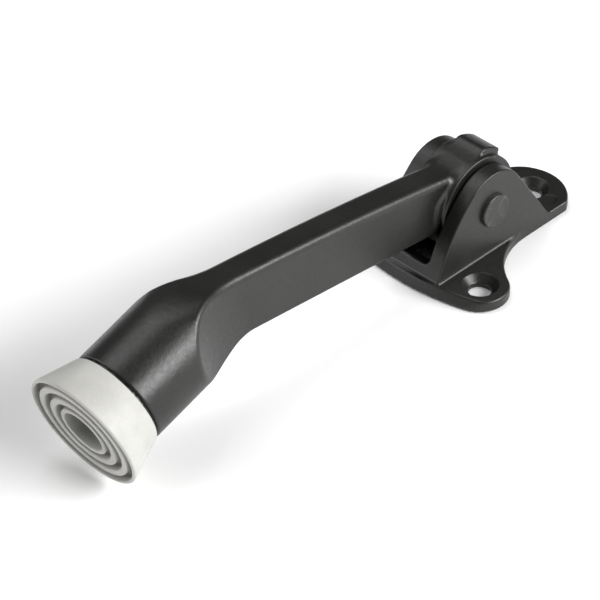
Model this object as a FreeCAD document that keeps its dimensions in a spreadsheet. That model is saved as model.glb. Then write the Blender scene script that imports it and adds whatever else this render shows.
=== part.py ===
import FreeCAD, Part
import math
import os

import Sketcher

# Kick-down door holder: a die-cast bracket, a swinging arm with a drum hub, and a rubber foot.
# Frame: +Z is the normal of the door face that the bracket is screwed to, X is the pivot's axis, and the arm
# points along -Y when it is down. The origin is on the bracket's back face, straight under the pivot.
# Every sub-part is a PartDesign body whose sizes come from the sheet "dims", in millimetres and degrees.

FreeCAD.newDocument("door_holder")
doc = FreeCAD.ActiveDocument

DIMENSIONS = {
    # bracket
    "pin_height": 15.6,
    "bracket_width": 20.9,
    "cheek_wall": 4.3,
    "cheek_round": 10.6,
    "cheek_front": 19.6,
    "cheek_back": 20.7,
    "front_bulge": 44.4,
    "plate_thick": 3.2,
    "toe_radius": 70.2,
    "toe_reach": 22.0,
    "toe_draft": 20.0,
    "ear_x": 17.35,
    "ear_y": 12.05,
    "ear_round": 7.3,
    "waist_radius": 20.4,
    "lobe_round": 11.8,
    "lobe_y": 21.8,
    "wall_top": 6.3,
    "wall_inner": 17.6,
    "wall_corner": 1.7,
    "cheek_root": 0.5,
    "well_floor": 0.9,
    "well_half": 13.0,
    "screw_hole": 5.8,
    "screw_sink": 9.5,
    "top_hole_y": 25.5,
    "mark_x": 6.5,
    "mark_y": 24.6,
    "mark_round": 2.1,
    "mark_deep": 0.25,
    # pivot
    "pin_round": 3.0,
    "pin_running": 3.06,
    "head_round": 4.45,
    "head_thick": 1.1,
    "head_edge": 0.35,
    "tail_round": 4.1,
    "tail_thick": 1.0,
    "tail_edge": 0.5,
    "washer_round": 6.5,
    "washer_thick": 0.3,
    # arm
    "hub_round": 12.2,
    "hub_half": 5.72,
    "nose_round": 13.8,
    "nose_half": 4.4,
    "nose_start": 50.0,
    "nose_end": 77.0,
    "ramp_foot": 88.0,
    "nose_sunk": 2.0,
    "bar_half": 4.2,
    "bar_crown": 1000.0,
    "bar_root_y": 2.0,
    "bar_root_top": 25.55,
    "bend_top_y": 99.0,
    "bend_top_z": 38.4,
    "bar_spare": 2.0,
    "bar_root_low": 11.2,
    "bend_low_y": 75.5,
    "bend_low_z": 18.7,
    "bar_tuck_y": 85.0,
    "bar_tuck_z": 17.5,
    "boss_round": 12.66,
    "boss_edge": 0.4,
    "flare_radius": 33.0,
    "flare_start": 50.3,
    "flare_reach": 13.5,
    "flare_past": 8.0,
    # foot, along its own axis from the sole
    "foot_y": 127.0,
    "foot_z": 16.17,
    "foot_tilt": 17.85,
    "foot_deep": 11.2,
    "sole_round": 16.27,
    "heel_round": 12.85,
    "sole_edge": 0.6,
    "heel_edge": 0.3,
    "rib_depth": 2.6,
    "rib_sunk": 0.2,
    "rib_1_outer": 6.95,
    "rib_2_inner": 8.45,
    "rib_2_outer": 10.25,
    "rib_3_inner": 11.85,
    "rib_3_outer": 13.6,
    "lip_inner": 15.2,
    "socket_round": 5.75,
    "socket_deep": 7.0,
    "web_end": 8.6,
    "web_gap": 0.1,
    "spigot_round": 7.0,
    "spigot_gap": 0.1,
    "neck_round": 12.0,
    "neck_end": 11.9,
    "screw_round": 2.0,
    "screw_end": 21.0,
    "screw_tip": 1.2,
    "screw_short": 1.0,
    "screw_gap": 0.2,
    "screw_head": 3.8,
    "screw_head_thick": 2.4,
    "screw_dome": 1.4,
    "foot_washer_round": 4.8,
    "foot_washer_thick": 0.8,
    "foot_washer_gap": 0.15,
    # leaf spring
    "leaf_half_width": 4.6,
    "leaf_half": 12.4,
    "leaf_thick": 0.8,
    "leaf_rise": 1.2,
}

sheet = doc.addObject("Spreadsheet::Sheet", "dims")
for row, (alias, value) in enumerate(DIMENSIONS.items(), start=1):
    sheet.set("A%d" % row, alias)
    sheet.set("B%d" % row, str(value))
    sheet.setAlias("B%d" % row, alias)
doc.recompute()

PLANE_ROLES = {"XY": "XY_Plane", "XZ": "XZ_Plane", "YZ": "YZ_Plane"}
ORIGIN_POINT = (-1, 1)


def number(formula):
    """The value of a formula in the sheet's aliases."""
    return float(sheet.evalExpression(formula))


def new_body(label):
    body = doc.addObject("PartDesign::Body", label)
    body.Label = label
    return body


def new_sketch(body, name, plane, offset=("0", "0", "0"), turn="0", turn_axis=(0, 0, 1)):
    """A sketch on one of the body's own planes, moved and turned in that plane's axes."""
    sketch = body.newObject("Sketcher::SketchObject", name)
    origin_plane = [f for f in body.Origin.OriginFeatures if f.Role == PLANE_ROLES[plane]][0]
    sketch.AttachmentSupport = [(origin_plane, "")]
    sketch.MapMode = "FlatFace"
    rotation = FreeCAD.Rotation(FreeCAD.Vector(*turn_axis), number(turn))
    sketch.AttachmentOffset = FreeCAD.Placement(FreeCAD.Vector(*[number(o) for o in offset]), rotation)
    for axis, formula in zip("xyz", offset):
        if formula != "0":
            sketch.setExpression("AttachmentOffset.Base." + axis, formula)
    if turn != "0":
        sketch.setExpression("AttachmentOffset.Rotation.Angle", turn)
    return sketch


def pin_point(sketch, geometry, point, across, up):
    """Ties one end of a curve to its place in the sketch, both ways bound to the sheet."""
    for kind, formula in (("DistanceX", across), ("DistanceY", up)):
        value = number(formula)
        index = sketch.addConstraint(Sketcher.Constraint(kind, *ORIGIN_POINT, geometry, point, value))
        sketch.setExpression("Constraints[%d]" % index, formula)


def draw_loop(sketch, corners):
    """Draws a closed loop. Each corner is (across, up, radius) as formulas.

    The radius is that of the arc to the next corner: empty for a straight line, positive where the arc turns
    left and negative where it turns right.
    """
    points = [FreeCAD.Vector(number(across), number(up), 0) for across, up, _ in corners]
    first = sketch.GeometryCount
    for i, (across, up, radius) in enumerate(corners):
        begin = points[i]
        finish = points[(i + 1) % len(points)]
        if not radius:
            sketch.addGeometry(Part.LineSegment(begin, finish), False)
            continue
        bend = number(radius)
        chord = finish - begin
        left = FreeCAD.Vector(-chord.y, chord.x, 0).normalize()
        reach = math.sqrt(bend ** 2 - (chord.Length / 2) ** 2)
        side = 1 if bend > 0 else -1
        centre = (begin + finish) * 0.5 + left * (side * reach)
        start_angle = math.atan2(begin.y - centre.y, begin.x - centre.x)
        finish_angle = math.atan2(finish.y - centre.y, finish.x - centre.x)
        if side < 0:
            start_angle, finish_angle = finish_angle, start_angle
        circle = Part.Circle(centre, FreeCAD.Vector(0, 0, 1), abs(bend))
        sketch.addGeometry(Part.ArcOfCircle(circle, start_angle, finish_angle), False)
    for i, (across, up, radius) in enumerate(corners):
        backwards = bool(radius) and number(radius) < 0
        next_index = (i + 1) % len(corners)
        next_radius = corners[next_index][2]
        next_backwards = bool(next_radius) and number(next_radius) < 0
        end = 1 if backwards else 2
        start = 2 if next_backwards else 1
        sketch.addConstraint(Sketcher.Constraint("Coincident", first + i, end, first + next_index, start))
    for i, (across, up, radius) in enumerate(corners):
        backwards = bool(radius) and number(radius) < 0
        pin_point(sketch, first + i, 2 if backwards else 1, across, up)
        if radius:
            index = sketch.addConstraint(Sketcher.Constraint("Radius", first + i, abs(number(radius))))
            sketch.setExpression("Constraints[%d]" % index, "abs(%s)" % radius)


def draw_circle(sketch, across, up, radius):
    centre = FreeCAD.Vector(number(across), number(up), 0)
    index = sketch.addGeometry(Part.Circle(centre, FreeCAD.Vector(0, 0, 1), number(radius)), False)
    pin_point(sketch, index, 3, across, up)
    constraint = sketch.addConstraint(Sketcher.Constraint("Radius", index, number(radius)))
    sketch.setExpression("Constraints[%d]" % constraint, radius)


def add_feature(body, kind, name, sketch, **settings):
    """Adds a sketch-based feature, makes it the tip, and stops if it changed nothing."""
    before = body.Tip.Shape.Volume if body.Tip and not body.Tip.Shape.isNull() else 0.0
    feature = body.newObject("PartDesign::" + kind, name)
    feature.Profile = sketch
    for key, value in settings.items():
        if isinstance(value, str) and key in ("Length", "Angle"):
            feature.setExpression(key, value)
        else:
            setattr(feature, key, value)
    body.Tip = feature
    doc.recompute()
    if abs(feature.Shape.Volume - before) < 0.01:
        raise RuntimeError("%s changed nothing" % name)
    return feature


def pad_both_ways(body, name, sketch, width):
    return add_feature(body, "Pad", name, sketch, Length=width, SideType="Symmetric")


def cut_both_ways(body, name, sketch, width):
    return add_feature(body, "Pocket", name, sketch, Length=width, SideType="Symmetric")


def round_edges(body, name, radius, chosen):
    """Rounds the tip's edges for which chosen(edge) is true."""
    base = body.Tip
    names = ["Edge%d" % (i + 1) for i, edge in enumerate(base.Shape.Edges) if chosen(edge)]
    if not names:
        raise RuntimeError("%s found no edge" % name)
    feature = body.newObject("PartDesign::Fillet", name)
    feature.Base = (base, names)
    feature.setExpression("Radius", radius)
    body.Tip = feature
    doc.recompute()
    return feature


def middle(edge):
    return edge.valueAt((edge.FirstParameter + edge.LastParameter) / 2)


def make_bracket():
    body = new_body("base_bracket")
    plate = new_sketch(body, "plate_outline", "XY")
    # Where neighbouring arcs of the outline touch: the toe's and waist's centres lie on lines with the ear's.
    half = "dims.bracket_width / 2"
    toe_centre = "(dims.toe_radius - dims.toe_reach)"
    toe_slant = "(dims.ear_x / (dims.toe_radius - dims.ear_round))"
    toe_x = "dims.toe_radius * %s" % toe_slant
    toe_y = "%s - sqrt(dims.toe_radius ^ 2 - (%s) ^ 2)" % (toe_centre, toe_x)
    waist_x = "(%s + dims.waist_radius)" % half
    waist_gap = "(dims.ear_round + dims.waist_radius)"
    waist_rise = "sqrt(%s ^ 2 - (%s - dims.ear_x) ^ 2)" % (waist_gap, waist_x)
    waist_y = "(%s - dims.ear_y)" % waist_rise
    heel_x = "dims.ear_x + (%s - dims.ear_x) * dims.ear_round / %s" % (waist_x, waist_gap)
    heel_y = "-dims.ear_y + %s * dims.ear_round / %s" % (waist_rise, waist_gap)
    lobe_y = "dims.lobe_y + sqrt(dims.lobe_round ^ 2 - (%s) ^ 2)" % half
    draw_loop(plate, [
        ("-(%s)" % toe_x, toe_y, "dims.toe_radius"),
        (toe_x, toe_y, "dims.ear_round"),
        (heel_x, heel_y, "-dims.waist_radius"),
        (half, waist_y, ""),
        (half, lobe_y, "dims.lobe_round"),
        ("-(%s)" % half, lobe_y, ""),
        ("-(%s)" % half, waist_y, "-dims.waist_radius"),
        ("-(%s)" % heel_x, heel_y, "dims.ear_round"),
    ])
    add_feature(body, "Pad", "plate", plate, Length="dims.plate_thick")

    cheeks = new_sketch(body, "cheek_outline", "YZ")
    # The back edge is the tangent to the round top; the front edge is a flat arc that runs on into it.
    back_y = "dims.cheek_back"
    drop = "(dims.pin_height - dims.plate_thick)"
    back_reach = "sqrt(dims.cheek_back ^ 2 + %s ^ 2)" % drop
    back_angle = "(180 deg - atan(%s / dims.cheek_back) - asin(dims.cheek_round / %s))" % (drop, back_reach)
    back_length = "sqrt(%s ^ 2 - dims.cheek_round ^ 2)" % back_reach
    touch_y = "dims.cheek_back + %s * cos(%s)" % (back_length, back_angle)
    touch_z = "dims.plate_thick + %s * sin(%s)" % (back_length, back_angle)
    front_reach = "sqrt(dims.cheek_front ^ 2 + %s ^ 2)" % drop
    lean = "(dims.front_bulge - dims.cheek_round)"
    # The bulge's centre is "lean" from the pin and "front_bulge" from the front corner.
    turn = ("acos((%s ^ 2 + %s ^ 2 - dims.front_bulge ^ 2) / (2 * %s * %s))"
            % (lean, front_reach, lean, front_reach))
    bulge_angle = "(%s - 180 deg + atan(%s / dims.cheek_front))" % (turn, drop)
    join_y = "-dims.cheek_round * cos(%s)" % bulge_angle
    join_z = "dims.pin_height - dims.cheek_round * sin(%s)" % bulge_angle
    draw_loop(cheeks, [
        ("-dims.cheek_front", "dims.plate_thick", ""),
        ("-dims.cheek_front", "dims.plate_thick / 2", ""),
        (back_y, "dims.plate_thick / 2", ""),
        (back_y, "dims.plate_thick", ""),
        (touch_y, touch_z, "dims.cheek_round"),
        (join_y, join_z, "dims.front_bulge"),
    ])
    pad_both_ways(body, "cheeks", cheeks, "dims.bracket_width")

    slot = new_sketch(body, "slot_outline", "YZ")
    over = "dims.pin_height + 2 * dims.cheek_round"
    out = "1.5 * dims.cheek_back"
    draw_loop(slot, [
        ("-(%s)" % out, "dims.wall_top", ""),
        ("-dims.wall_inner", "dims.wall_top", ""),
        ("-dims.wall_inner", "dims.plate_thick", ""),
        ("-dims.well_half", "dims.plate_thick", ""),
        ("-dims.well_half", "dims.well_floor", ""),
        ("dims.well_half", "dims.well_floor", ""),
        ("dims.well_half", "dims.plate_thick", ""),
        (out, "dims.plate_thick", ""),
        (out, over, ""),
        ("-(%s)" % out, over, ""),
    ])
    cut_both_ways(body, "slot", slot, "dims.bracket_width - 2 * dims.cheek_wall")

    bore = new_sketch(body, "bore_circle", "YZ")
    draw_circle(bore, "0", "dims.pin_height", "dims.pin_round")
    cut_both_ways(body, "pin_bore", bore, "2 * dims.bracket_width")

    # The toe's face leans back: a cone about the toe arc's centre line.
    toe = new_sketch(body, "toe_face", "YZ", offset=(toe_centre, "0", "0"))
    lean_out = "dims.wall_top * 2 * tan(dims.toe_draft)"
    draw_loop(toe, [
        ("-dims.toe_radius", "0", ""),
        ("-dims.toe_radius + %s" % lean_out, "dims.wall_top * 2", ""),
        ("-dims.toe_radius - dims.ear_round", "dims.wall_top * 2", ""),
        ("-dims.toe_radius - dims.ear_round", "0", ""),
    ])
    add_feature(body, "Groove", "toe_lean", toe, ReferenceAxis=(toe, ["V_Axis"]), Angle="360")

    inner = number("dims.bracket_width / 2 - dims.cheek_wall")
    outer = number("dims.bracket_width / 2")
    top = number("dims.plate_thick")
    wall_top = number("dims.wall_top")
    round_edges(body, "wall_corners", "dims.wall_corner", lambda edge: abs(abs(middle(edge).x) - inner) < 0.01
                and abs(middle(edge).z - wall_top) < 0.01)
    round_edges(body, "cheek_roots", "dims.cheek_root", lambda edge: abs(abs(middle(edge).x) - outer) < 0.01
                and abs(middle(edge).z - top) < 0.01 and middle(edge).y < number("dims.cheek_back") / 2)

    holes = new_sketch(body, "screw_centres", "XY", offset=("0", "0", "dims.plate_thick"))
    draw_circle(holes, "dims.ear_x", "-dims.ear_y", "dims.screw_hole / 2")
    draw_circle(holes, "-dims.ear_x", "-dims.ear_y", "dims.screw_hole / 2")
    draw_circle(holes, "0", "dims.top_hole_y", "dims.screw_hole / 2")
    before = body.Tip.Shape.Volume
    screw_holes = body.newObject("PartDesign::Hole", "screw_holes")
    screw_holes.Profile = holes
    doc.recompute()
    screw_holes.DepthType = "ThroughAll"
    screw_holes.HoleCutType = "Countersink"
    screw_holes.HoleCutCountersinkAngle = 90
    screw_holes.setExpression("Diameter", "dims.screw_hole")
    screw_holes.setExpression("HoleCutDiameter", "dims.screw_sink")
    body.Tip = screw_holes
    doc.recompute()
    if screw_holes.Shape.Volume > before - 1:
        raise RuntimeError("the screw holes cut nothing")

    marks = new_sketch(body, "ejector_marks", "XY", offset=("0", "0", "dims.plate_thick"))
    for across in ("dims.mark_x", "-dims.mark_x"):
        draw_circle(marks, across, "dims.mark_y", "dims.mark_round")
    add_feature(body, "Pocket", "ejector_dimples", marks, Length="dims.mark_deep")
    return body


def make_rivet():
    """The pivot's pin, pressed in both cheeks: a flat head at +X and an upset tail at -X."""
    body = new_body("pivot_rivet")
    sketch = new_sketch(body, "rivet_profile", "XZ", offset=("0", "dims.pin_height", "0"))
    half = "dims.bracket_width / 2"
    draw_loop(sketch, [
        ("-(%s) - dims.tail_thick" % half, "0", ""),
        ("%s + dims.head_thick" % half, "0", ""),
        ("%s + dims.head_thick" % half, "dims.head_round - dims.head_edge", ""),
        ("%s + dims.head_thick - dims.head_edge" % half, "dims.head_round", ""),
        (half, "dims.head_round", ""),
        (half, "dims.pin_round", ""),
        ("-(%s)" % half, "dims.pin_round", ""),
        ("-(%s)" % half, "dims.tail_round", ""),
        ("-(%s) - dims.tail_thick + dims.tail_edge" % half, "dims.tail_round", ""),
        ("-(%s) - dims.tail_thick" % half, "dims.tail_round - 2 * dims.tail_edge", ""),
    ])
    add_feature(body, "Revolution", "rivet", sketch, ReferenceAxis=(sketch, ["H_Axis"]), Angle="360")
    return body


def make_thrust_washer(label, side):
    """A thin washer on the pin, midway in the gap between the hub's end and a cheek."""
    body = new_body(label)
    gap_middle = "(dims.bracket_width / 2 - dims.cheek_wall + dims.hub_half) / 2"
    start = "%d * %s - dims.washer_thick / 2" % (side, gap_middle)
    sketch = new_sketch(body, "ring", "YZ", offset=("0", "0", start))
    draw_circle(sketch, "0", "dims.pin_height", "dims.washer_round")
    draw_circle(sketch, "0", "dims.pin_height", "dims.pin_running")
    add_feature(body, "Pad", "washer", sketch, Length="dims.washer_thick")
    return body


def make_leaf_spring():
    """A bowed strip in the bracket's well. Its ends stand on the well's floor and its crown faces the hub."""
    body = new_body("leaf_spring")
    sketch = new_sketch(body, "strip_side", "YZ")
    low = "dims.well_floor"
    bow = "((dims.leaf_half ^ 2 + dims.leaf_rise ^ 2) / (2 * dims.leaf_rise))"
    draw_loop(sketch, [
        ("-dims.leaf_half", low, "-%s" % bow),
        ("dims.leaf_half", low, ""),
        ("dims.leaf_half", "%s + dims.leaf_thick" % low, bow),
        ("-dims.leaf_half", "%s + dims.leaf_thick" % low, ""),
    ])
    pad_both_ways(body, "strip", sketch, "2 * dims.leaf_half_width")
    return body


def foot_sketch(body, name):
    """A sketch whose origin is the sole's centre and whose first axis is the foot's, up into the arm."""
    return new_sketch(body, name, "YZ", offset=("-dims.foot_y", "dims.foot_z", "0"), turn="dims.foot_tilt")


def around_pin(radius, angle):
    """The place of a point at a radius and an angle about the pin, in the side view."""
    return "%s * cos(dims.%s)" % (radius, angle), "dims.pin_height + %s * sin(dims.%s)" % (radius, angle)


def make_arm():
    body = new_body("holder_arm")
    # The bar is padded a little too tall, and the top cut brings it and the boss to one curved top.
    bar = new_sketch(body, "bar_side", "YZ")
    draw_loop(bar, [
        ("-dims.bar_tuck_y", "dims.bar_tuck_z", ""),
        ("-dims.bend_low_y", "dims.bend_low_z", ""),
        ("-dims.bar_root_y", "dims.bar_root_low", ""),
        ("-dims.bar_root_y", "dims.bar_root_top + dims.bar_spare", ""),
        ("-dims.bend_top_y", "dims.bend_top_z + dims.bar_spare", ""),
    ])
    pad_both_ways(body, "bar", bar, "2 * dims.bar_half")

    boss = foot_sketch(body, "boss_profile")
    seat = "dims.web_end + dims.web_gap"
    draw_loop(boss, [
        (seat, "0", ""),
        ("dims.flare_start", "0", ""),
        ("dims.flare_start", "dims.boss_round", ""),
        ("dims.neck_end + dims.boss_edge", "dims.boss_round", ""),
        ("dims.neck_end", "dims.boss_round - dims.boss_edge", ""),
        ("dims.neck_end", "dims.neck_round", ""),
        ("dims.foot_deep", "dims.neck_round", ""),
        ("dims.foot_deep", "dims.spigot_round", ""),
        (seat, "dims.spigot_round", ""),
    ])
    add_feature(body, "Revolution", "boss", boss, ReferenceAxis=(boss, ["H_Axis"]), Angle="360")

    top = new_sketch(body, "top_side", "YZ")
    clear = "dims.bend_top_z + 2 * dims.boss_round"
    draw_loop(top, [
        ("-dims.bend_top_y", "dims.bend_top_z", "-dims.bar_crown"),
        ("-dims.bar_root_y", "dims.bar_root_top", ""),
        ("-dims.bar_root_y", clear, ""),
        ("-dims.bend_top_y", clear, ""),
    ])
    cut_both_ways(body, "top_cut", top, "4 * dims.boss_round")

    # The boss's sides sweep in to the bar's width.
    flare = new_sketch(body, "flare_plan", "XY", offset=("0", "-dims.foot_y", "dims.foot_z"),
                       turn="dims.foot_tilt", turn_axis=(1, 0, 0))
    sweep = ("dims.flare_start - sqrt(dims.flare_radius ^ 2"
             " - (dims.flare_radius + dims.bar_half - dims.flare_reach) ^ 2)")
    past = "dims.flare_start + dims.flare_past"
    for sign, bend in (("", "dims.flare_radius"), ("-", "-dims.flare_radius")):
        draw_loop(flare, [
            ("%sdims.bar_half" % sign, "dims.flare_start", bend),
            ("%sdims.flare_reach" % sign, sweep, ""),
            ("%sdims.flare_reach" % sign, past, ""),
            ("%sdims.bar_half" % sign, past, ""),
        ])
    cut_both_ways(body, "side_flares", flare, "6 * dims.boss_round")

    hub = new_sketch(body, "hub_circle", "YZ")
    draw_circle(hub, "0", "dims.pin_height", "dims.hub_round")
    pad_both_ways(body, "hub", hub, "2 * dims.hub_half")

    # The nose rises from the drum up a short ramp, keeps its radius, and ends in a step.
    nose = new_sketch(body, "nose_side", "YZ")
    inner = "(dims.hub_round - dims.nose_sunk)"
    draw_loop(nose, [
        around_pin("dims.nose_round", "nose_start") + ("dims.nose_round",),
        around_pin("dims.nose_round", "nose_end") + ("",),
        around_pin("dims.hub_round", "ramp_foot") + ("",),
        around_pin(inner, "ramp_foot") + ("",),
        around_pin(inner, "nose_start") + ("",),
    ])
    pad_both_ways(body, "cam_nose", nose, "2 * dims.nose_half")

    bore = new_sketch(body, "hub_bore", "YZ")
    draw_circle(bore, "0", "dims.pin_height", "dims.pin_running")
    cut_both_ways(body, "pin_bore", bore, "4 * dims.hub_half")

    pilot = foot_sketch(body, "pilot_profile")
    draw_loop(pilot, [
        ("0", "0", ""),
        ("dims.screw_end", "0", ""),
        ("dims.screw_end", "dims.screw_round", ""),
        ("0", "dims.screw_round", ""),
    ])
    add_feature(body, "Groove", "screw_pilot", pilot, ReferenceAxis=(pilot, ["H_Axis"]), Angle="360")
    return body


def make_foot():
    """The rubber foot: a tapered cup with ring ribs on its sole and a socket for its screw's head."""
    body = new_body("rubber_foot")
    sketch = foot_sketch(body, "foot_profile")
    shank = "dims.screw_round + dims.screw_gap"
    spigot = "dims.spigot_round + dims.spigot_gap"
    corners = [
        ("dims.socket_deep", shank, ""),
        ("dims.socket_deep", "dims.socket_round", ""),
        ("dims.rib_sunk", "dims.socket_round", ""),
    ]
    grooves = [("rib_1_outer", "rib_2_inner"), ("rib_2_outer", "rib_3_inner"), ("rib_3_outer", "lip_inner")]
    for groove_inner, groove_outer in grooves:
        top_of_outer = "0" if groove_outer == "lip_inner" else "dims.rib_sunk"
        corners += [
            ("dims.rib_sunk", "dims." + groove_inner, ""),
            ("dims.rib_depth", "dims." + groove_inner, ""),
            ("dims.rib_depth", "dims." + groove_outer, ""),
            (top_of_outer, "dims." + groove_outer, ""),
        ]
    corners += [
        ("0", "dims.sole_round - dims.sole_edge", "-dims.sole_edge"),
        ("dims.sole_edge", "dims.sole_round", ""),
        ("dims.foot_deep - dims.heel_edge", "dims.heel_round", ""),
        ("dims.foot_deep", "dims.heel_round - dims.heel_edge", ""),
        ("dims.foot_deep", spigot, ""),
        ("dims.web_end", spigot, ""),
        ("dims.web_end", shank, ""),
    ]
    draw_loop(sketch, corners)
    add_feature(body, "Revolution", "foot", sketch, ReferenceAxis=(sketch, ["H_Axis"]), Angle="360")
    return body


def make_foot_washer():
    body = new_body("foot_washer")
    sketch = foot_sketch(body, "washer_profile")
    draw_loop(sketch, [
        ("dims.socket_deep - dims.foot_washer_thick", "dims.screw_round + dims.foot_washer_gap", ""),
        ("dims.socket_deep", "dims.screw_round + dims.foot_washer_gap", ""),
        ("dims.socket_deep", "dims.foot_washer_round", ""),
        ("dims.socket_deep - dims.foot_washer_thick", "dims.foot_washer_round", ""),
    ])
    add_feature(body, "Revolution", "washer", sketch, ReferenceAxis=(sketch, ["H_Axis"]), Angle="360")
    return body


def make_foot_screw():
    body = new_body("foot_screw")
    sketch = foot_sketch(body, "screw_profile")
    seat = "dims.socket_deep - dims.foot_washer_thick"
    front = "%s - dims.screw_head_thick" % seat
    tip = "dims.screw_end - dims.screw_short"
    draw_loop(sketch, [
        (front, "0", ""),
        (tip, "0", ""),
        ("%s - dims.screw_tip" % tip, "dims.screw_round", ""),
        (seat, "dims.screw_round", ""),
        (seat, "dims.screw_head", ""),
        ("%s - dims.screw_head_thick / 2" % seat, "dims.screw_head", ""),
        (front, "dims.screw_head - dims.screw_dome", ""),
    ])
    add_feature(body, "Revolution", "screw", sketch, ReferenceAxis=(sketch, ["H_Axis"]), Angle="360")
    return body


SUB_PARTS = [
    make_bracket(),
    make_rivet(),
    make_thrust_washer("thrust_washer_near", 1),
    make_thrust_washer("thrust_washer_far", -1),
    make_leaf_spring(),
    make_arm(),
    make_foot(),
    make_foot_washer(),
    make_foot_screw(),
]

doc.recompute()
for item in doc.Objects:
    if "Invalid" in item.State or "Error" in item.State:
        raise RuntimeError("%s failed to recompute: %s" % (item.Label, item.State))
os.makedirs("parts", exist_ok=True)
for part in SUB_PARTS:
    shape = part.Shape
    if shape.isNull() or not shape.isValid() or len(shape.Solids) != 1:
        raise RuntimeError("%s isn't one good solid" % part.Label)
    shape.exportStep("parts/%s.step" % part.Label)
    box = shape.BoundBox
    print("%-20s %9.1f mm3  x %.1f..%.1f  y %.1f..%.1f  z %.2f..%.2f" % (
        part.Label, shape.Volume, box.XMin, box.XMax, box.YMin, box.YMax, box.ZMin, box.ZMax))
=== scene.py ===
import math

import bpy
import numpy as np
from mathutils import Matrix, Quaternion, Vector


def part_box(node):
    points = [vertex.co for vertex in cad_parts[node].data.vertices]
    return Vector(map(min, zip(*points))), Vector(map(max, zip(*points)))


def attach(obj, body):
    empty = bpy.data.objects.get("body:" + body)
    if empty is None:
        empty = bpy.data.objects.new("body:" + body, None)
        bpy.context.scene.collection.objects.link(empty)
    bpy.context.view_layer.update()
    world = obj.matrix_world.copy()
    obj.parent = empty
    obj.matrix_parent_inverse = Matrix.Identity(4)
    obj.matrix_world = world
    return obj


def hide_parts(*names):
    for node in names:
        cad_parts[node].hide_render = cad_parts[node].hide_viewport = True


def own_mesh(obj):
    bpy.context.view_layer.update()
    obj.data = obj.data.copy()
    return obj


# The looks of a kick-down door holder: bracket, arm, rivet, spring, washers, rubber foot and its screw.
# Shapes are written in millimetres in the frame's own axes, and become metres when a mesh is made.

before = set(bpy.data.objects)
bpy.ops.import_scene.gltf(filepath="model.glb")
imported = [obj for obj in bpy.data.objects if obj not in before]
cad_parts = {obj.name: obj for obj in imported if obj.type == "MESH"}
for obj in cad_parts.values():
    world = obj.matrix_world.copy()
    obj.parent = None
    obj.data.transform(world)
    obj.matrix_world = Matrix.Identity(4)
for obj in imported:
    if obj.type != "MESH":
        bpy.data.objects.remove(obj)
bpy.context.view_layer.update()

MM = 0.001

# Bracket
PIN_Z = 15.6
WIDTH_HALF = 10.45
SLOT_HALF = 6.15
PLATE = 3.2
CHEEK_ROUND = 10.6
CHEEK_FRONT = 19.6
CHEEK_BACK = 20.7
FRONT_BULGE = 44.4
TOE_ROUND = 70.2
TOE_REACH = 22.0
TOE_DRAFT = math.radians(20.0)
EAR_X = 17.35
EAR_Y = 12.05
EAR_ROUND = 7.3
WAIST_ROUND = 20.4
LOBE_ROUND = 11.8
LOBE_Y = 21.8
WALL_TOP = 6.3
WALL_INNER = 17.6
WALL_CORNER = 1.7
WELL_FLOOR = 0.9
WELL_HALF = 13.0
HOLE_ROUND = 2.9
SINK_ROUND = 4.75
TOP_HOLE_Y = 25.5
MARK_X = 6.5
MARK_Y = 24.6
MARK_ROUND = 2.1
MARK_DEEP = 0.35
CAST_EDGE = 0.4
PLATE_EDGE = 0.7
ROOT_FILLET = 0.8

# Pivot
BORE_ROUND = 3.0
RUNNING_ROUND = 3.06
HEAD_ROUND = 4.45
HEAD_THICK = 1.1
TAIL_ROUND = 4.1
TAIL_THICK = 1.0
WASHER_ROUND = 6.5
WASHER_THICK = 0.3

# Arm
HUB_ROUND = 12.2
HUB_HALF = 5.72
NOSE_ROUND = 13.8
NOSE_HALF = 4.4
NOSE_START = math.radians(50.0)
NOSE_END = math.radians(77.0)
RAMP_FOOT = math.radians(88.0)
BAR_HALF = 4.2
CROWN = 1000.0
BAR_ROOT_Y = -2.0
BAR_ROOT_TOP = 25.55
BEND_TOP_Y = -99.0
BEND_TOP_Z = 38.4
BAR_ROOT_LOW = 11.2
BEND_LOW_Y = -75.5
BEND_LOW_Z = 18.7
BAR_LOW_END = -82.0
BOSS_ROUND = 12.66
BOSS_START = 11.9
NECK_ROUND = 12.0
NECK_START = 11.2
SPIGOT_ROUND = 7.0
SPIGOT_START = 8.7
PILOT_ROUND = 2.0
PILOT_END = 21.0
FLARE_ROUND = 33.0
FLARE_START = 50.3
TOP_EDGE = 2.0
RIM_EDGE = 0.6
EDGE_START = 30.0
EDGE_FULL = 48.0
EDGE_LOW = -7.0
EDGE_HIGH = -3.0
BEND_BLEND = 2.6
BOSS_FILLET = 1.0
BAR_FILLET = 1.7

# Room around the screw and the spigot
SPIGOT_GAP = 0.1
WASHER_GAP = 0.15
SCREW_GAP = 0.2

# Foot, measured along its own axis from the middle of its sole
FOOT_Y = -127.0
FOOT_Z = 16.17
FOOT_TILT = math.radians(17.85)
FOOT_DEEP = 11.2
SOLE_ROUND = 16.27
HEEL_ROUND = 12.85
SOCKET_ROUND = 5.75
SOCKET_DEEP = 7.0
WEB_END = 8.6
RIB_DEEP = 2.6
RIB_SUNK = 0.2
RIB_EDGES = ((5.75, 6.95), (8.45, 10.25), (11.85, 13.6))
LIP_INNER = 15.2
SCREW_HEAD = 3.8
SCREW_HEAD_THICK = 2.4
SCREW_DOME = 1.4
SCREW_MEAN = 1.86
SCREW_RIDGE = 0.12
SCREW_TIP = 1.6
RECESS_HALF = 0.42
RECESS_REACH = 1.9
RECESS_DEEP = 1.3
SCREW_END = 20.0
FOOT_WASHER_ROUND = 4.8
FOOT_WASHER_THICK = 0.8

# Leaf spring
LEAF_HALF_WIDTH = 4.6
LEAF_HALF = 12.4
LEAF_THICK = 0.8
LEAF_RISE = 1.2


# Shapes are functions of place that give the distance to the surface, negative inside.

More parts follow.
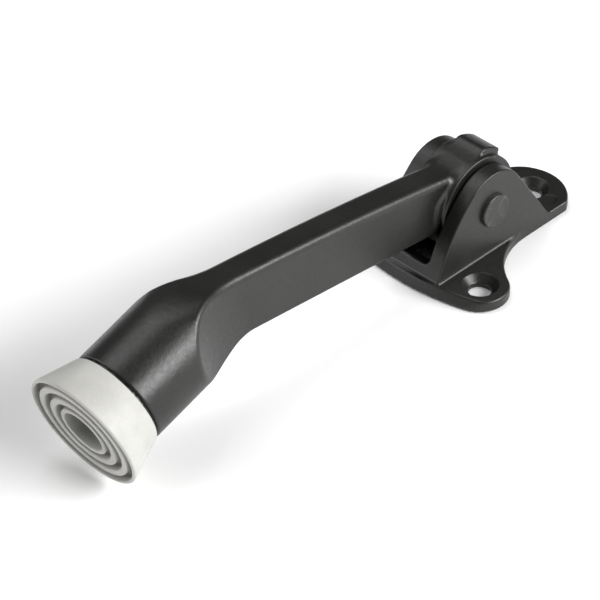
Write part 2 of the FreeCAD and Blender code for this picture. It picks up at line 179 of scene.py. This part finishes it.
def round_and(one, other, radius):
    """What is inside both, with the edge between them rounded."""
    beyond = np.hypot(np.maximum(one + radius, 0), np.maximum(other + radius, 0))
    return np.minimum(-radius, np.maximum(one, other)) + beyond


def round_or(one, other, radius):
    """What is inside either, with a fillet between them."""
    return -round_and(-one, -other, radius)


def cut(body, tool, radius):
    return round_and(body, -tool, radius)


def slab(value, low, high):
    return np.maximum(low - value, value - high)


def arc(centre, radius, start, finish, steps=24):
    """Points along an arc from one angle to another, in radians."""
    angles = np.linspace(start, finish, steps)
    return [(centre[0] + radius * math.cos(a), centre[1] + radius * math.sin(a)) for a in angles]


def outline_distance(across, up, outline):
    """Distance to a closed outline of straight lines, negative inside it."""
    nearest = np.full(np.broadcast(across, up).shape, np.inf)
    inside = np.zeros(nearest.shape, bool)
    for (ax, ay), (bx, by) in zip(outline, outline[1:] + outline[:1]):
        ex = bx - ax
        ey = by - ay
        wx = across - ax
        wy = up - ay
        along = np.clip((wx * ex + wy * ey) / (ex * ex + ey * ey), 0, 1)
        nearest = np.minimum(nearest, (wx - along * ex) ** 2 + (wy - along * ey) ** 2)
        if ey:
            inside ^= ((ay <= up) != (by <= up)) & (ex * wy / ey > wx)
    return np.where(inside, -1, 1) * np.sqrt(nearest)


def slope_and_value(shape, points, step=0.02):
    """The shape's value at each point and its gradient, from four samples around the point."""
    directions = np.array([(1, -1, -1), (-1, -1, 1), (-1, 1, -1), (1, 1, 1)], float)
    samples = [shape(*(points + step * d).T) for d in directions]
    gradient = sum(s[:, None] * d for s, d in zip(samples, directions)) / (4 * step)
    return gradient, sum(samples) / 4


LEAST_STEEPNESS = 0.25


def settle(shape, points):
    """Moves points straight onto the surface."""
    for _ in range(2):
        gradient, value = slope_and_value(shape, points)
        steepness = np.maximum((gradient ** 2).sum(axis=1), LEAST_STEEPNESS)
        points = points - gradient * (value / steepness)[:, None]
    return points


def skin(shape, low, high, cell, evenings=4, pull=0.6):
    """Quads over the surface of a shape: one point in each grid cell that the surface crosses, evened out."""
    axes = [np.arange(a - cell, b + 2 * cell, cell) for a, b in zip(low, high)]
    x, y, z = np.meshgrid(*axes, indexing="ij", sparse=True)
    inside = np.broadcast_to(shape(x, y, z), [len(a) for a in axes]) < 0
    corners = sum(inside[i:i + len(axes[0]) - 1, j:j + len(axes[1]) - 1, k:k + len(axes[2]) - 1].astype(int)
                  for i in (0, 1) for j in (0, 1) for k in (0, 1))
    crossed = (corners > 0) & (corners < 8)
    number = np.full(crossed.shape, -1)
    number[crossed] = np.arange(crossed.sum())
    cells = np.argwhere(crossed)
    points = np.stack([axes[i][cells[:, i]] + cell / 2 for i in range(3)], axis=1)

    quads = []
    for axis in range(3):
        first = np.moveaxis(inside, axis, 0)[:-1]
        second = np.moveaxis(inside, axis, 0)[1:]
        numbers = np.moveaxis(number, axis, 0)
        i, j, k = np.nonzero(first[:, 1:-1, 1:-1] != second[:, 1:-1, 1:-1])
        around = [numbers[i, j, k], numbers[i, j + 1, k], numbers[i, j + 1, k + 1], numbers[i, j, k + 1]]
        quad = np.stack(around, axis=1)
        outward = first[i, j + 1, k + 1] ^ (axis == 1)
        quads.append(np.where(outward[:, None], quad, quad[:, ::-1]))
    quads = np.concatenate(quads)

    ends = np.concatenate([quads, np.roll(quads, -1, axis=1)])
    others = np.concatenate([np.roll(quads, -1, axis=1), quads])
    share = np.bincount(ends.ravel(), minlength=len(points))
    points = settle(shape, points)
    for _ in range(evenings):
        mean = np.stack([np.bincount(ends.ravel(), points[others.ravel(), i], len(points)) / share
                         for i in range(3)], axis=1)
        points = settle(shape, points + pull * (mean - points))
    gradient, _ = slope_and_value(shape, points)
    normals = gradient / np.linalg.norm(gradient, axis=1)[:, None]
    return points, quads, normals


def add_piece(name, points, faces, normals=None):
    mesh = bpy.data.meshes.new(name)
    mesh.from_pydata((np.asarray(points) * MM).tolist(), [], [list(face) for face in faces])
    mesh.validate()
    mesh.shade_smooth()
    if normals is not None:
        mesh.normals_split_custom_set_from_vertices(normals.tolist())
    piece = bpy.data.objects.new(name, mesh)
    bpy.context.collection.objects.link(piece)
    return piece


def cast_piece(name, shape, low, high, cell):
    return add_piece(name, *skin(shape, low, high, cell))


# Bracket

def plate_outline():
    """Half of the plate's outline, for |x|, closed well past the middle line."""
    toe_y = TOE_ROUND - TOE_REACH
    toe_turn = math.asin(EAR_X / (TOE_ROUND - EAR_ROUND))
    waist_x = WIDTH_HALF + WAIST_ROUND
    waist_y = math.sqrt((EAR_ROUND + WAIST_ROUND) ** 2 - (waist_x - EAR_X) ** 2) - EAR_Y
    waist_turn = math.atan2(waist_y + EAR_Y, waist_x - EAR_X)
    lobe_turn = math.acos(WIDTH_HALF / LOBE_ROUND)
    down = -math.pi / 2
    toe_past = 0.1
    lobe_past = 0.5
    points = arc((0, toe_y), TOE_ROUND, down - toe_past, down + toe_turn)
    points += arc((EAR_X, -EAR_Y), EAR_ROUND, down + toe_turn, waist_turn)[1:]
    points += arc((waist_x, waist_y), WAIST_ROUND, waist_turn + math.pi, math.pi, 16)[1:-1]
    points += [(WIDTH_HALF, waist_y)]
    points += arc((0, LOBE_Y), LOBE_ROUND, lobe_turn, math.pi / 2 + lobe_past)
    return points


def cheek_outline():
    """The cheeks' side view: a round top, a straight back that touches it and a gently bulging front."""
    drop = PIN_Z - PLATE
    back_reach = math.hypot(CHEEK_BACK, drop)
    back_turn = math.pi / 2 - math.atan2(drop, CHEEK_BACK) - math.asin(CHEEK_ROUND / back_reach)
    front_reach = math.hypot(CHEEK_FRONT, drop)
    lean = FRONT_BULGE - CHEEK_ROUND
    corner = math.acos((lean ** 2 + front_reach ** 2 - FRONT_BULGE ** 2) / (2 * lean * front_reach))
    bulge_turn = corner - math.pi + math.atan2(drop, CHEEK_FRONT)
    bulge = (lean * math.cos(bulge_turn), PIN_Z + lean * math.sin(bulge_turn))
    foot_turn = math.atan2(PLATE - bulge[1], -CHEEK_FRONT - bulge[0])
    points = arc((0, PIN_Z), CHEEK_ROUND, back_turn, math.pi + bulge_turn, 40)
    points += arc(bulge, FRONT_BULGE, math.pi + bulge_turn, foot_turn % (2 * math.pi))[1:]
    points += [(-CHEEK_FRONT, PLATE / 2), (CHEEK_BACK, PLATE / 2), (CHEEK_BACK, PLATE)]
    return points


PLATE_OUTLINE = plate_outline()
CHEEK_OUTLINE = cheek_outline()


def screw_hole(x, y, z, hole_x, hole_y):
    reach = np.hypot(x - hole_x, y - hole_y)
    cone = np.maximum((reach - SINK_ROUND + PLATE - z) / math.sqrt(2), reach - SINK_ROUND)
    return np.minimum(reach - HOLE_ROUND, cone)


def bracket_shape(x, y, z):
    x = np.abs(x)
    plan = outline_distance(x, y, PLATE_OUTLINE)
    plate = round_and(plan, slab(z, 0, PLATE), PLATE_EDGE)
    cheeks = round_and(outline_distance(y, z, CHEEK_OUTLINE), x - WIDTH_HALF, CAST_EDGE)
    body = np.maximum(round_or(plate, cheeks, ROOT_FILLET), plan)

    over_wall = round_and(x - SLOT_HALF, WALL_TOP - z, WALL_CORNER)
    behind_wall = round_and(x - SLOT_HALF, np.maximum(PLATE - z, -WALL_INNER - y), ROOT_FILLET)
    well = round_and(x - SLOT_HALF, np.maximum(WELL_FLOOR - z, np.abs(y) - WELL_HALF), ROOT_FILLET)
    body = cut(body, np.minimum(over_wall, np.minimum(behind_wall, well)), CAST_EDGE)

    toe = (np.hypot(x, y + TOE_REACH - TOE_ROUND) - TOE_ROUND + z * math.tan(TOE_DRAFT)) * math.cos(TOE_DRAFT)
    body = round_and(body, toe, CAST_EDGE)
    body = cut(body, np.hypot(y, z - PIN_Z) - BORE_ROUND, CAST_EDGE / 2)
    body = cut(body, screw_hole(x, y, z, EAR_X, -EAR_Y), CAST_EDGE / 2)
    body = cut(body, screw_hole(x, y, z, 0, TOP_HOLE_Y), CAST_EDGE / 2)
    mark = np.maximum(np.hypot(x - MARK_X, y - MARK_Y) - MARK_ROUND, PLATE - MARK_DEEP - z)
    return cut(body, mark, MARK_DEEP / 2)


# Arm

def along_foot(y, z):
    """Place along the foot's axis from the sole, and height over that axis."""
    dy = y - FOOT_Y
    dz = z - FOOT_Z
    along = dy * math.cos(FOOT_TILT) + dz * math.sin(FOOT_TILT)
    over = dz * math.cos(FOOT_TILT) - dy * math.sin(FOOT_TILT)
    return along, over


def smooth_step(value, start, finish):
    part = np.clip((value - start) / (finish - start), 0, 1)
    return part * part * (3 - 2 * part)


def bar_top(y, z):
    """The crowned top line of the bar, a very large arc."""
    dy = BAR_ROOT_Y - BEND_TOP_Y
    dz = BAR_ROOT_TOP - BEND_TOP_Z
    chord = math.hypot(dy, dz)
    reach = math.sqrt(CROWN ** 2 - (chord / 2) ** 2)
    centre_y = (BAR_ROOT_Y + BEND_TOP_Y) / 2 + dz / chord * reach
    centre_z = (BAR_ROOT_TOP + BEND_TOP_Z) / 2 - dy / chord * reach
    return np.hypot(y - centre_y, z - centre_z) - CROWN


def nose_ramp(y, z):
    """The nose's front, a flat ramp from the drum up to the nose's radius."""
    low = np.array((math.cos(RAMP_FOOT), math.sin(RAMP_FOOT))) * HUB_ROUND
    high = np.array((math.cos(NOSE_END), math.sin(NOSE_END))) * NOSE_ROUND
    rise = (high - low) / np.linalg.norm(high - low)
    return rise[0] * (z - PIN_Z - low[1]) - rise[1] * (y - low[0])


def arm_shape(x, y, z):
    x = np.abs(x)
    along, over = along_foot(y, z)
    round_boss = np.hypot(x, over)

    slope = (BEND_LOW_Z - BAR_ROOT_LOW) / (BEND_LOW_Y - BAR_ROOT_Y)
    under = (BEND_LOW_Z + (y - BEND_LOW_Y) * slope - z) * math.cos(math.atan(slope))
    bar_below = np.maximum(under, BAR_LOW_END - y)
    body = round_or(round_boss - BOSS_ROUND, bar_below, BOSS_FILLET)
    body = round_and(body, bar_top(y, z), BEND_BLEND)
    sweep = FLARE_ROUND - np.hypot(FLARE_ROUND + BAR_HALF - x, np.minimum(along - FLARE_START, 0))
    near_top = smooth_step(bar_top(y, z), EDGE_LOW, EDGE_HIGH)
    edge = RIM_EDGE + (TOP_EDGE - RIM_EDGE) * smooth_step(along, EDGE_START, EDGE_FULL) * near_top
    body = round_and(body, sweep, edge)
    body = round_and(body, BOSS_START - along, RIM_EDGE)
    body = np.maximum(body, y - BAR_ROOT_Y)

    drum = round_and(np.hypot(y, z - PIN_Z) - HUB_ROUND, x - HUB_HALF, CAST_EDGE)
    back = math.sin(NOSE_START) * y - math.cos(NOSE_START) * (z - PIN_Z)
    wedge = round_and(np.hypot(y, z - PIN_Z) - NOSE_ROUND, np.maximum(back, nose_ramp(y, z)), RIM_EDGE)
    nose = round_and(wedge, x - NOSE_HALF, RIM_EDGE)
    body = round_or(body, round_or(drum, nose, ROOT_FILLET), BAR_FILLET)
    body = cut(body, np.hypot(y, z - PIN_Z) - RUNNING_ROUND, CAST_EDGE / 2)

    neck = np.maximum(round_boss - NECK_ROUND, slab(along, NECK_START, BOSS_START + 1))
    spigot = np.maximum(round_boss - SPIGOT_ROUND, slab(along, SPIGOT_START, BOSS_START + 1))
    body = np.minimum(body, np.minimum(neck, spigot))
    return cut(body, np.maximum(round_boss - PILOT_ROUND, along - PILOT_END), CAST_EDGE / 2)


# Leaf spring

def leaf_shape(x, y, z):
    bow = (LEAF_HALF ** 2 + LEAF_RISE ** 2) / (2 * LEAF_RISE)
    low = np.hypot(y, z - WELL_FLOOR - LEAF_RISE + bow) - bow
    high = np.hypot(y, z - WELL_FLOOR - LEAF_RISE - LEAF_THICK + bow) - bow
    strip = round_and(np.maximum(-low, high), np.abs(x) - LEAF_HALF_WIDTH, 0.2)
    return np.maximum(strip, np.abs(y) - LEAF_HALF)


# Foot screw, on the foot's own axis

def screw_shape(x, y, z):
    """A pan head with a cross recess, in the hole of the sole."""
    along, over = along_foot(y, z)
    reach = np.hypot(x, over)
    seat = SOCKET_DEEP - FOOT_WASHER_THICK
    front = seat - SCREW_HEAD_THICK
    head = round_and(reach - SCREW_HEAD, slab(along, front, seat), 0.2)
    dome = (front - along) * SCREW_DOME + (reach - SCREW_HEAD + SCREW_DOME) * SCREW_HEAD_THICK / 2
    head = round_and(head, dome / math.hypot(SCREW_DOME, SCREW_HEAD_THICK / 2), 0.6)
    ridge = SCREW_RIDGE * np.cos(2 * math.pi * (along + np.arctan2(x, over) / (2 * math.pi)))
    tip = (reach + along - SCREW_END - PILOT_ROUND + SCREW_TIP) / math.sqrt(2)
    shank = np.maximum(reach - SCREW_MEAN + ridge, slab(along, seat - 1, SCREW_END))
    body = np.minimum(head, np.maximum(shank, tip))
    arms = np.minimum(np.maximum(np.abs(x) - RECESS_HALF, np.abs(over) - RECESS_REACH),
                      np.maximum(np.abs(over) - RECESS_HALF, np.abs(x) - RECESS_REACH))
    return cut(body, np.maximum(arms, along - front - RECESS_DEEP), 0.12)


# Turned pieces

def rounded_profile(corners, steps=5):
    """Swaps each (along, radius, edge) corner for an arc of that edge radius. Zero keeps it sharp."""
    points = []
    for i, (along, radius, edge) in enumerate(corners):
        here = np.array((along, radius))
        if not edge:
            points.append(tuple(here))
            continue
        before = np.array(corners[i - 1][:2]) - here
        after = np.array(corners[(i + 1) % len(corners)][:2]) - here
        before = before / np.linalg.norm(before)
        after = after / np.linalg.norm(after)
        half_turn = math.acos(np.clip(before @ after, -1, 1)) / 2
        start = here + before * edge / math.tan(half_turn)
        middle = here + (before + after) / np.linalg.norm(before + after) * edge / math.sin(half_turn)
        finish = here + after * edge / math.tan(half_turn)
        for part in np.linspace(0, 1, steps):
            chord = start + (finish - start) * part - middle
            points.append(tuple(middle + chord / np.linalg.norm(chord) * edge))
    return points


def evened(profile, longest=0.7):
    """Divides a closed profile's long straight stretches, so that shading and wear are even along them."""
    points = []
    for here, following in zip(profile, profile[1:] + profile[:1]):
        count = max(1, math.ceil(math.dist(here, following) / longest))
        points += [tuple(np.array(here) + (np.array(following) - here) * i / count) for i in range(count)]
    return points


def turned_piece(name, profile, place, sides=180):
    """Spins a closed profile of (along, radius) points.

    place(along, across, over) gives a point in the frame.
    """
    profile = [point for point in evened(profile) if point[1] > 1e-6 or point in profile]
    rings = []
    starts = []
    for along, radius in profile:
        starts.append(len(rings))
        count = 1 if radius < 1e-6 else sides
        turns = [2 * math.pi * i / count for i in range(count)]
        rings += [place(along, radius * math.sin(t), radius * math.cos(t)) for t in turns]
    counts = [b - a for a, b in zip(starts, starts[1:] + [len(rings)])]
    faces = []
    for i in range(len(profile)):
        j = (i + 1) % len(profile)
        if counts[i] == 1 and counts[j] == 1:
            continue
        for side in range(sides):
            following = (side + 1) % sides
            corners = [starts[i] + side % counts[i], starts[i] + following % counts[i],
                       starts[j] + following % counts[j], starts[j] + side % counts[j]]
            faces.append(list(dict.fromkeys(corners)))
    piece = add_piece(name, rings, faces)
    piece.data.set_sharp_from_angle(angle=math.radians(40))
    return piece


def on_pin(along, across, over):
    """The pin's axis: along is +X. Across is reversed, which turns the faces outward."""
    return (along, -across, PIN_Z + over)


def on_foot(along, across, over):
    """The foot's axis, from the sole up into the arm."""
    y = FOOT_Y + along * math.cos(FOOT_TILT) - over * math.sin(FOOT_TILT)
    z = FOOT_Z + along * math.sin(FOOT_TILT) + over * math.cos(FOOT_TILT)
    return (across, y, z)


def rivet_profile():
    dish = 0.12
    return rounded_profile([
        (-WIDTH_HALF - TAIL_THICK, 0, 0),
        (-WIDTH_HALF - TAIL_THICK, TAIL_ROUND - 0.6, 0.5),
        (-WIDTH_HALF - TAIL_THICK * 0.35, TAIL_ROUND, 0.4),
        (-WIDTH_HALF, TAIL_ROUND, 0),
        (-WIDTH_HALF, BORE_ROUND, 0),
        (WIDTH_HALF, BORE_ROUND, 0),
        (WIDTH_HALF, HEAD_ROUND, 0),
        (WIDTH_HALF + HEAD_THICK, HEAD_ROUND, 0.4),
        (WIDTH_HALF + HEAD_THICK - dish, HEAD_ROUND - 1.2, 1.0),
        (WIDTH_HALF + HEAD_THICK - dish, 0, 0),
    ])


def washer_profile(start, thick, inner, outer, edge):
    return rounded_profile([
        (start, inner, edge),
        (start, outer, edge),
        (start + thick, outer, edge),
        (start + thick, inner, edge),
    ], 4)


def foot_profile():
    """The cup's section: ring ribs with round tops and grooves with round floors."""
    groove = 0.5
    top = 0.35
    corners = [(SOCKET_DEEP, PILOT_ROUND + SCREW_GAP, 0), (SOCKET_DEEP, SOCKET_ROUND, groove)]
    for inner, outer in RIB_EDGES:
        if inner > SOCKET_ROUND:
            corners.append((RIB_DEEP, inner, groove))
        corners += [(RIB_SUNK, inner, top), (RIB_SUNK, outer, top), (RIB_DEEP, outer, groove)]
    corners += [
        (RIB_DEEP, LIP_INNER, groove),
        (0, LIP_INNER, top),
        (0, SOLE_ROUND, 0.6),
        (FOOT_DEEP, HEEL_ROUND, 0.3),
        (FOOT_DEEP, SPIGOT_ROUND + SPIGOT_GAP, 0),
        (WEB_END, SPIGOT_ROUND + SPIGOT_GAP, 0),
        (WEB_END, PILOT_ROUND + SCREW_GAP, 0),
    ]
    return rounded_profile(corners, 6)


# Materials

class Material:
    """A procedural material being put together. Patterns are laid in the object's own millimetres."""

    def __init__(self, name):
        self.material = bpy.data.materials.new(name)
        self.material.use_nodes = True
        self.nodes = self.material.node_tree.nodes
        self.links = self.material.node_tree.links
        self.shader = self.nodes["Principled BSDF"]
        self.place = self.nodes.new("ShaderNodeTexCoord").outputs["Object"]

    def scaled_place(self, scale):
        mapping = self.nodes.new("ShaderNodeMapping")
        mapping.inputs["Scale"].default_value = scale
        self.links.new(self.place, mapping.inputs["Vector"])
        return mapping.outputs["Vector"]

    def noise(self, size, detail=3.0, stretch=(1, 1, 1)):
        """Noise whose blobs are about size millimetres across."""
        node = self.nodes.new("ShaderNodeTexNoise")
        node.inputs["Scale"].default_value = 1.0
        node.inputs["Detail"].default_value = detail
        self.links.new(self.scaled_place([s / (size * MM) for s in stretch]), node.inputs["Vector"])
        return node.outputs["Fac"]

    def ranged(self, value, low, high, start=0.35, finish=0.65):
        node = self.nodes.new("ShaderNodeMapRange")
        for name, number in (("From Min", start), ("From Max", finish), ("To Min", low), ("To Max", high)):
            node.inputs[name].default_value = number
        self.links.new(value, node.inputs["Value"])
        return node.outputs["Result"]

    def combine(self, how, one, other):
        node = self.nodes.new("ShaderNodeMath")
        node.operation = how
        for socket, value in zip(node.inputs, (one, other)):
            if isinstance(value, float):
                socket.default_value = value
            else:
                self.links.new(value, socket)
        return node.outputs["Value"]

    def mixed_colour(self, amount, first, second):
        node = self.nodes.new("ShaderNodeMix")
        node.data_type = "RGBA"
        self.links.new(amount, node.inputs["Factor"])
        for socket, colour in ((node.inputs["A"], first), (node.inputs["B"], second)):
            if isinstance(colour, tuple):
                socket.default_value = (*colour, 1)
            else:
                self.links.new(colour, socket)
        return node.outputs["Result"]

    def edges(self, start, finish):
        """1 on outward edges, 0 on flats, from the mesh's own pointiness."""
        geometry = self.nodes.new("ShaderNodeNewGeometry")
        return self.ranged(geometry.outputs["Pointiness"], 0.0, 1.0, start, finish)

    def on_axis(self, start, direction):
        """How far along an axis a point is, and how far from it, in metres."""
        offset = self.vector("SUBTRACT", self.place, [c * MM for c in start])
        along = self.vector("DOT_PRODUCT", offset, direction, "Value")
        square = self.vector("DOT_PRODUCT", offset, offset, "Value")
        rest = self.combine("SUBTRACT", square, self.combine("MULTIPLY", along, along))
        return along, self.combine("SQRT", rest, 0.0)

    def vector(self, how, one, other, result="Vector"):
        node = self.nodes.new("ShaderNodeVectorMath")
        node.operation = how
        for socket, value in zip(node.inputs, (one, other)):
            if isinstance(value, (tuple, list)):
                socket.default_value = value
            else:
                self.links.new(value, socket)
        return node.outputs[result]

    def colour(self, value):
        self.links.new(value, self.shader.inputs["Base Color"])

    def roughness(self, value):
        self.links.new(value, self.shader.inputs["Roughness"])

    def bump(self, height, depth):
        """Raises the surface by depth millimetres times height."""
        last = self.shader.inputs["Normal"].links
        node = self.nodes.new("ShaderNodeBump")
        node.inputs["Strength"].default_value = 1.0
        node.inputs["Distance"].default_value = depth * MM
        self.links.new(height, node.inputs["Height"])
        if last:
            self.links.new(last[0].from_socket, node.inputs["Normal"])
        self.links.new(node.outputs["Normal"], self.shader.inputs["Normal"])


def black_casting():
    """Satin black paint on a die casting: fine orange peel, faint mottling, and edges painted paler, partly as
    rubbed paint and partly as a painted highlight line along them.
    """
    paint = Material("black_casting")
    cloud = paint.ranged(paint.noise(14.0), 0.0, 1.0)
    speck = paint.ranged(paint.noise(0.9, 4.0), 0.0, 1.0)
    base = paint.mixed_colour(cloud, (0.0055, 0.0055, 0.0048), (0.0090, 0.0090, 0.0078))
    # Paler edges: rubbed paint, and also a painted highlight that brightens the lines along the cast edges.
    wear_and_edge_highlight = paint.combine("MULTIPLY", paint.edges(0.58, 0.68), speck)
    paint.colour(paint.mixed_colour(wear_and_edge_highlight, base, (0.110, 0.107, 0.099)))
    paint.roughness(paint.combine("ADD", paint.ranged(cloud, 0.0, 0.04, 0.0, 1.0),
                                  paint.ranged(speck, 0.33, 0.40, 0.0, 1.0)))
    paint.bump(paint.noise(1.4, 3.0), 0.045)
    paint.bump(paint.noise(0.5, 3.0), 0.022)
    return paint.material


def black_steel():
    """The rivet: the same black, a little greyer and smoother, with small knocks."""
    steel = Material("black_steel")
    cloud = steel.ranged(steel.noise(3.0), 0.0, 1.0)
    base = steel.mixed_colour(cloud, (0.020, 0.020, 0.019), (0.032, 0.032, 0.030))
    steel.colour(steel.mixed_colour(steel.edges(0.52, 0.58), base, (0.060, 0.058, 0.054)))
    steel.roughness(steel.ranged(steel.noise(0.6, 4.0), 0.30, 0.44))
    steel.bump(steel.noise(1.1, 3.0), 0.020)
    steel.shader.inputs["Metallic"].default_value = 0.25
    return steel.material


def zinc_steel():
    steel = Material("zinc_steel")
    cloud = steel.ranged(steel.noise(1.8), 0.0, 1.0)
    steel.colour(steel.mixed_colour(cloud, (0.56, 0.57, 0.58), (0.68, 0.68, 0.70)))
    steel.roughness(steel.ranged(steel.noise(0.5, 4.0), 0.24, 0.40))
    steel.bump(steel.noise(0.4, 3.0), 0.006)
    steel.shader.inputs["Metallic"].default_value = 1.0
    return steel.material


def spring_steel():
    """Blued strip: rolling lines along its length."""
    steel = Material("spring_steel")
    cloud = steel.ranged(steel.noise(4.0), 0.0, 1.0)
    steel.colour(steel.mixed_colour(cloud, (0.26, 0.27, 0.30), (0.40, 0.40, 0.41)))
    steel.roughness(steel.ranged(steel.noise(1.0, 4.0), 0.26, 0.40))
    steel.bump(steel.noise(0.5, 3.0, (1, 0.06, 1)), 0.010)
    steel.shader.inputs["Metallic"].default_value = 1.0
    return steel.material


def grey_rubber():
    """Light warm grey moulded rubber: dull, faintly clouded, finely grained, with painted shade darkening the
    floors of the grooves.
    """
    rubber = Material("grey_rubber")
    cloud = rubber.ranged(rubber.noise(9.0), 0.0, 1.0)
    grain = rubber.noise(0.5, 4.0)
    base = rubber.mixed_colour(cloud, (0.38, 0.378, 0.361), (0.44, 0.438, 0.420))
    base = rubber.mixed_colour(rubber.ranged(grain, 0.0, 0.25), base, (0.50, 0.49, 0.45))
    # Painted shade: inside the lip, the colour darkens with depth into the grooves of the sole.
    depth, reach = rubber.on_axis(on_foot(0, 0, 0), (0, math.cos(FOOT_TILT), math.sin(FOOT_TILT)))
    sunk = rubber.ranged(depth, 0.0, 1.0, 0.4 * MM, 2.2 * MM)
    taper = (SOLE_ROUND - HEEL_ROUND) / FOOT_DEEP
    from_cone = rubber.combine("ADD", reach, rubber.combine("MULTIPLY", depth, taper))
    within = rubber.ranged(from_cone, 1.0, 0.0, (SOLE_ROUND - 0.2) * MM, (SOLE_ROUND - 0.1) * MM)
    rubber.colour(rubber.mixed_colour(rubber.combine("MULTIPLY", sunk, within), base, (0.27, 0.265, 0.245)))
    rubber.roughness(rubber.ranged(rubber.noise(2.5), 0.55, 0.72))
    rubber.bump(grain, 0.012)
    rubber.bump(rubber.noise(3.5), 0.030)
    return rubber.material


def pale_floor():
    ground = Material("pale_floor")
    cloud = ground.ranged(ground.noise(60.0), 0.0, 1.0)
    ground.colour(ground.mixed_colour(cloud, (0.93, 0.93, 0.93), (0.95, 0.95, 0.95)))
    ground.roughness(ground.ranged(ground.noise(4.0), 0.75, 0.85))
    ground.bump(ground.noise(1.2), 0.010)
    return ground.material


MATERIALS = {
    "black_casting": black_casting(),
    "black_steel": black_steel(),
    "zinc_steel": zinc_steel(),
    "spring_steel": spring_steel(),
    "grey_rubber": grey_rubber(),
}


def dress(piece, node, body, slot):
    """Gives a piece its material and its body, and hides the CAD node it stands for."""
    piece.data.materials.append(MATERIALS[slot])
    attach(piece, body)
    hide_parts(node)


def node_box(node):
    """A CAD node's corners in millimetres."""
    low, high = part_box(node)
    return [c / MM for c in low], [c / MM for c in high]


for node, shape, body, slot, cell in (
    ("base_bracket", bracket_shape, "bracket", "black_casting", 0.3),
    ("holder_arm", arm_shape, "arm", "black_casting", 0.34),
    ("leaf_spring", leaf_shape, "bracket", "spring_steel", 0.2),
    ("foot_screw", screw_shape, "arm", "zinc_steel", 0.15),
):
    piece = cast_piece(node + "_look", shape, *node_box(node), cell)
    dress(piece, node, body, slot)
    if node == "leaf_spring":
        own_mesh(piece)

gap_start = (SLOT_HALF + HUB_HALF - WASHER_THICK) / 2
pin_washer = washer_profile(gap_start, WASHER_THICK, RUNNING_ROUND, WASHER_ROUND, 0.1)
mirrored_washer = [(-along, radius) for along, radius in pin_washer][::-1]
foot_washer = washer_profile(SOCKET_DEEP - FOOT_WASHER_THICK, FOOT_WASHER_THICK, PILOT_ROUND + WASHER_GAP,
                             FOOT_WASHER_ROUND, 0.15)
for node, profile, place, body, slot in (
    ("pivot_rivet", rivet_profile(), on_pin, "bracket", "black_steel"),
    ("thrust_washer_near", pin_washer, on_pin, "bracket", "zinc_steel"),
    ("thrust_washer_far", mirrored_washer, on_pin, "bracket", "zinc_steel"),
    ("rubber_foot", foot_profile(), on_foot, "arm", "grey_rubber"),
    ("foot_washer", foot_washer, on_foot, "arm", "zinc_steel"),
):
    dress(turned_piece(node + "_look", profile, place), node, body, slot)

# Floor, light and camera

bpy.ops.mesh.primitive_plane_add(size=6.0, location=(0, 0, -0.0002))
floor = bpy.context.object
floor.name = "floor"
floor.data.materials.append(pale_floor())


def add_light(name, place, aim, size, power):
    light = bpy.data.lights.new(name, "AREA")
    light.shape = "RECTANGLE"
    light.size, light.size_y = size
    light.energy = power
    lamp = bpy.data.objects.new(name, light)
    bpy.context.collection.objects.link(lamp)
    lamp.location = place
    direction = Vector(aim) - Vector(place)
    lamp.rotation_euler = direction.to_track_quat("-Z", "Y").to_euler()


# The key gives the bright band along the arm's near top edge. The top light fills the foot and the boss.
# The front fill lights the foot's sole and its left side.
MIDDLE = Vector((0, -0.05, 0.015))
add_light("key_softbox", MIDDLE + Vector((0.80, 0.34, 0.50)) * 2.5, MIDDLE, (2.3, 1.1), 110.0)
add_light("top_softbox", MIDDLE + Vector((-0.35, -0.10, 0.93)) * 2.5, MIDDLE, (2.2, 1.6), 27.0)
add_light("front_fill", MIDDLE + Vector((-0.55, -0.75, 0.37)) * 2.5, MIDDLE, (1.8, 1.2), 24.0)

world = bpy.data.worlds.new("studio")
bpy.context.scene.world = world
world.use_nodes = True
world.node_tree.nodes["Background"].inputs["Color"].default_value = (1, 1, 1, 1)
world.node_tree.nodes["Background"].inputs["Strength"].default_value = 0.14
bpy.context.scene.view_settings.view_transform = "Standard"

CAMERA_LENS = 249.2
CAMERA_PLACE = Vector((0.54313, -0.60222, 0.62452))
CAMERA_AIM = Vector((0.0, -0.05641, 0.01423))
CAMERA_ROLL = math.radians(-0.716)

camera_data = bpy.data.cameras.new("camera")
camera_data.lens = CAMERA_LENS
camera_data.sensor_width = 36.0
camera = bpy.data.objects.new("camera", camera_data)
bpy.context.collection.objects.link(camera)
look = (CAMERA_AIM - CAMERA_PLACE).to_track_quat("-Z", "Y")
camera.rotation_mode = "QUATERNION"
camera.rotation_quaternion = look @ Quaternion((0, 0, 1), CAMERA_ROLL)
camera.location = CAMERA_PLACE
bpy.context.scene.camera = camera
